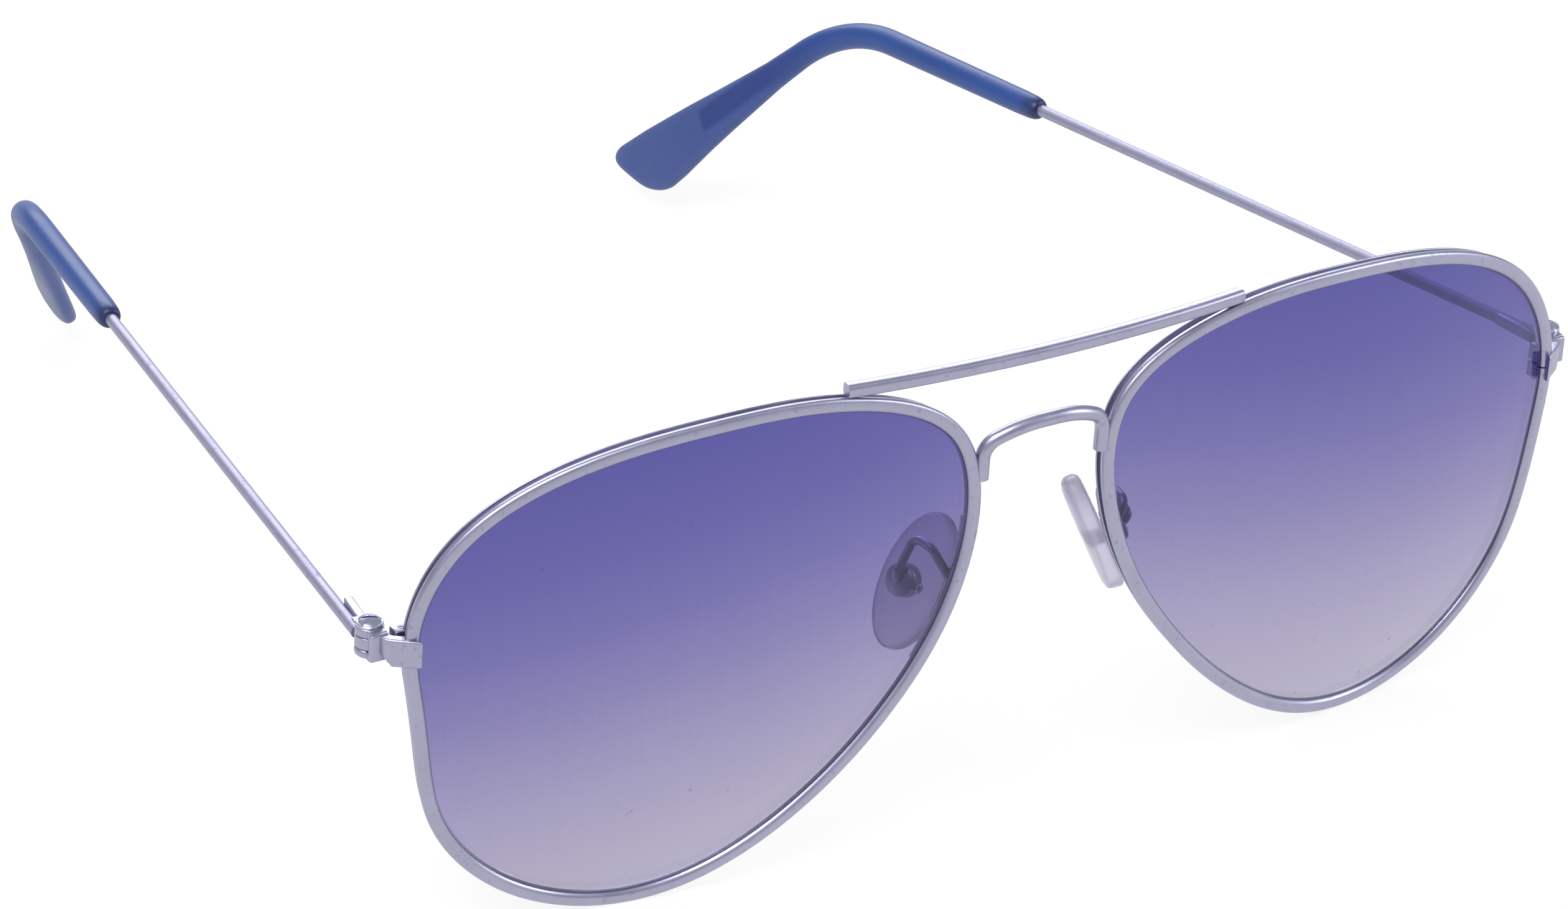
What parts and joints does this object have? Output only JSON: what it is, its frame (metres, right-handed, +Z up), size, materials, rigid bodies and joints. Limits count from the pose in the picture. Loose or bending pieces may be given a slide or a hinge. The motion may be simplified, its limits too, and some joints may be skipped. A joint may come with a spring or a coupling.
{
  "type": "aviator sunglasses",
  "caption": "Metal wire sunglasses with teardrop lenses, brow bar, saddle bridge, rocking nose pads and folding wire temples with plastic tips.",
  "frame": {"origin": "on the surface under the middle of the pair as it stands on its rims and temple tips", "axes": "+X to the wearer's left, +Y backwards to the wearer, +Z up"},
  "size_m": [0.1414, 0.1444, 0.0539],
  "materials": {
    "frame_metal": "satin silver plating on drawn wire",
    "screw_steel": "bright slotted screws",
    "lens": "polished, violet blue tint that fades downwards",
    "tip_plastic": "glossy dark blue, slightly see-through",
    "pad_silicone": "clear soft plastic, polished"
  },
  "bodies": {
    "front": {"brow_bar": "frame_metal", "bridge": "frame_metal", "rim_left": "frame_metal", "rim_right": "frame_metal", "lens_left": "lens", "lens_right": "lens", "end_piece_left": "frame_metal", "end_piece_right": "frame_metal", "closing_block_upper_left": "frame_metal", "closing_block_upper_right": "frame_metal", "closing_block_lower_left": "frame_metal", "closing_block_lower_right": "frame_metal", "rim_screw_left": "screw_steel", "rim_screw_right": "screw_steel", "hinge_front_left": "frame_metal", "hinge_front_right": "frame_metal", "hinge_screw_left": "screw_steel", "hinge_screw_right": "screw_steel", "pad_arm_left": "frame_metal", "pad_arm_right": "frame_metal", "pad_cup_left": "frame_metal", "pad_cup_right": "frame_metal", "pad_screw_left": "screw_steel", "pad_screw_right": "screw_steel"},
    "temple_left": {"hinge_rear_left": "frame_metal", "temple_wire_left": "frame_metal", "temple_tip_left": "tip_plastic"},
    "pad_left": {"nose_pad_left": "pad_silicone"},
    "temple_right": {"hinge_rear_right": "frame_metal", "temple_wire_right": "frame_metal", "temple_tip_right": "tip_plastic"},
    "pad_right": {"nose_pad_right": "pad_silicone"}
  },
  "joints": [
    {"name": "temple_fold_left", "type": "hinge", "parent": "front", "child": "temple_left", "pos_m": [0.06934, -0.05918, 0.03275], "axis": [0, -0.0257, 0.9997], "range_deg": [0, 76]},
    {"name": "temple_fold_right", "type": "hinge", "parent": "front", "child": "temple_right", "pos_m": [-0.06934, -0.05918, 0.03275], "axis": [0, 0.0257, -0.9997], "range_deg": [0, 69]},
    {"name": "pad_rock_left", "type": "hinge", "parent": "front", "child": "pad_left", "pos_m": [0.0124, -0.06406, 0.02795], "axis": [0.2722, 0.9565, 0.1046], "range_deg": [-8, 8]},
    {"name": "pad_rock_right", "type": "hinge", "parent": "front", "child": "pad_right", "pos_m": [-0.0124, -0.06406, 0.02795], "axis": [0.2722, -0.9565, -0.1046], "range_deg": [-8, 8]}
  ]
}
